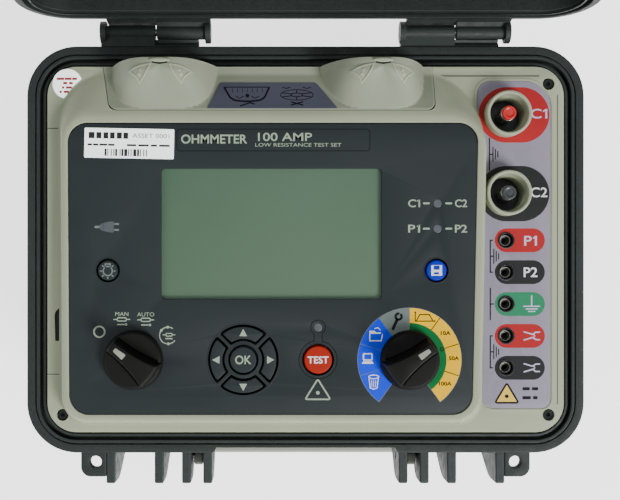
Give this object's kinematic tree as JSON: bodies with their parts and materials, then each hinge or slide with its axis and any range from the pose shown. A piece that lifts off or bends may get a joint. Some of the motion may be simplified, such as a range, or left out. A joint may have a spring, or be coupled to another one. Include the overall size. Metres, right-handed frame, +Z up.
{
  "type": "low resistance ohmmeter",
  "caption": "Portable electrical test set in a hinged hard case: display, two rotary knobs, keypad, collared current terminals and shrouded 4 mm sockets, lid open.",
  "frame": {"origin": "middle of the base's underside, where it rests on the bench", "axes": "+X to the right facing the panel, +Y towards the hinges, +Z up"},
  "size_m": [0.4, 0.4247, 0.4845],
  "materials": {
    "case": "coarse spark-eroded texture",
    "beige": "fine texture",
    "handle": "fine texture",
    "overlay": "printed membrane, satin",
    "label": "printed polyester, satin",
    "icon_label": "printed polyester, satin",
    "black_plastic": "satin",
    "knob": "satin",
    "pointer": "satin",
    "steel": "plated",
    "copper": "plain copper",
    "board": "lacquered laminate",
    "switch": "satin",
    "module": "anodised",
    "battery": "shrink sleeve",
    "rubber": "moulded",
    "window": "clear",
    "display": "display glass",
    "lens": "smoked",
    "paper": "printed sticker",
    "key_dark": "satin",
    "key_red": "satin",
    "key_blue": "satin"
  },
  "bodies": {
    "case": {"base_case": "case", "padlock_lug_left": "case", "padlock_lug_right": "case", "hinge_pins": "steel", "handle_pins": "steel", "panel_moulding": "beige", "panel_deck": "beige", "panel_gasket": "rubber", "panel_screws": "black_plastic", "rear_cover": "beige", "icon_label": "icon_label", "front_overlay": "overlay", "terminal_label": "label", "stickers": "paper", "side_port": "black_plastic", "display_window": "window", "display_module": "display", "indicator_lenses": "lens", "keypad_mat": "rubber", "key_switches": "steel", "control_board": "board", "mode_switch": "switch", "range_switch": "switch", "power_board": "board", "board_pillars": "steel", "power_module": "module", "battery_pack": "battery", "busbars": "copper", "c1_collar": "beige", "c2_collar": "beige", "terminal_insulators": "black_plastic", "c1_post": "steel", "c2_post": "steel", "post_caps": "black_plastic", "p1_socket": "black_plastic", "p2_socket": "black_plastic", "earth_socket": "black_plastic", "red_clamp_socket": "black_plastic", "black_clamp_socket": "black_plastic", "socket_contacts": "steel"},
    "lid": {"lid_shell": "case", "lid_seal": "rubber", "latch_pins": "steel"},
    "latch_left": {"latch_left": "case"},
    "latch_right": {"latch_right": "case"},
    "handle": {"carry_handle": "handle"},
    "mode_knob": {"mode_knob": "knob", "mode_pointer": "pointer", "mode_shaft": "steel"},
    "range_knob": {"range_knob": "knob", "range_pointer": "pointer", "range_shaft": "steel"},
    "key_ok": {"key_ok": "key_dark"},
    "key_up": {"key_up": "key_dark"},
    "key_down": {"key_down": "key_dark"},
    "key_left": {"key_left": "key_dark"},
    "key_right": {"key_right": "key_dark"},
    "key_test": {"key_test": "key_red"},
    "key_save": {"key_save": "key_blue"},
    "key_backlight": {"key_backlight": "key_dark"}
  },
  "joints": [
    {"name": "lid_hinge", "type": "hinge", "parent": "case", "child": "lid", "pos_m": [0, 0.1568, 0.135], "axis": [1, 0, 0], "range_deg": [0, 97]},
    {"name": "latch_left_pivot", "type": "hinge", "parent": "lid", "child": "latch_left", "pos_m": [-0.12265, 0.21552, 0.44092], "axis": [1, 0, 0], "range_deg": [0, 105]},
    {"name": "latch_right_pivot", "type": "hinge", "parent": "lid", "child": "latch_right", "pos_m": [0.12265, 0.21552, 0.44092], "axis": [1, 0, 0], "range_deg": [0, 105]},
    {"name": "handle_swing", "type": "hinge", "parent": "case", "child": "handle", "pos_m": [0, -0.152, 0.118], "axis": [-1, 0, 0], "range_deg": [0, 90]},
    {"name": "mode_turn", "type": "hinge", "parent": "case", "child": "mode_knob", "pos_m": [-0.1213, -0.078, 0.16], "axis": [0, 0, 1], "range_deg": [-108, 0]},
    {"name": "range_turn", "type": "hinge", "parent": "case", "child": "range_knob", "pos_m": [0.0726, -0.078, 0.16], "axis": [0, 0, 1], "range_deg": [-72, 180]},
    {"name": "press_ok", "type": "slide", "parent": "case", "child": "key_ok", "axis": [0, 0, -1], "range_m": [0, 0.001], "stiffness_N_per_m": 400, "springref_m": -0.0002},
    {"name": "press_up", "type": "slide", "parent": "case", "child": "key_up", "axis": [0, 0, -1], "range_m": [0, 0.001], "stiffness_N_per_m": 400, "springref_m": -0.0002},
    {"name": "press_down", "type": "slide", "parent": "case", "child": "key_down", "axis": [0, 0, -1], "range_m": [0, 0.001], "stiffness_N_per_m": 400, "springref_m": -0.0002},
    {"name": "press_left", "type": "slide", "parent": "case", "child": "key_left", "axis": [0, 0, -1], "range_m": [0, 0.001], "stiffness_N_per_m": 400, "springref_m": -0.0002},
    {"name": "press_right", "type": "slide", "parent": "case", "child": "key_right", "axis": [0, 0, -1], "range_m": [0, 0.001], "stiffness_N_per_m": 400, "springref_m": -0.0002},
    {"name": "press_test", "type": "slide", "parent": "case", "child": "key_test", "axis": [0, 0, -1], "range_m": [0, 0.001], "stiffness_N_per_m": 400, "springref_m": -0.0002},
    {"name": "press_save", "type": "slide", "parent": "case", "child": "key_save", "axis": [0, 0, -1], "range_m": [0, 0.001], "stiffness_N_per_m": 400, "springref_m": -0.0002},
    {"name": "press_backlight", "type": "slide", "parent": "case", "child": "key_backlight", "axis": [0, 0, -1], "range_m": [0, 0.001], "stiffness_N_per_m": 400, "springref_m": -0.0002}
  ]
}
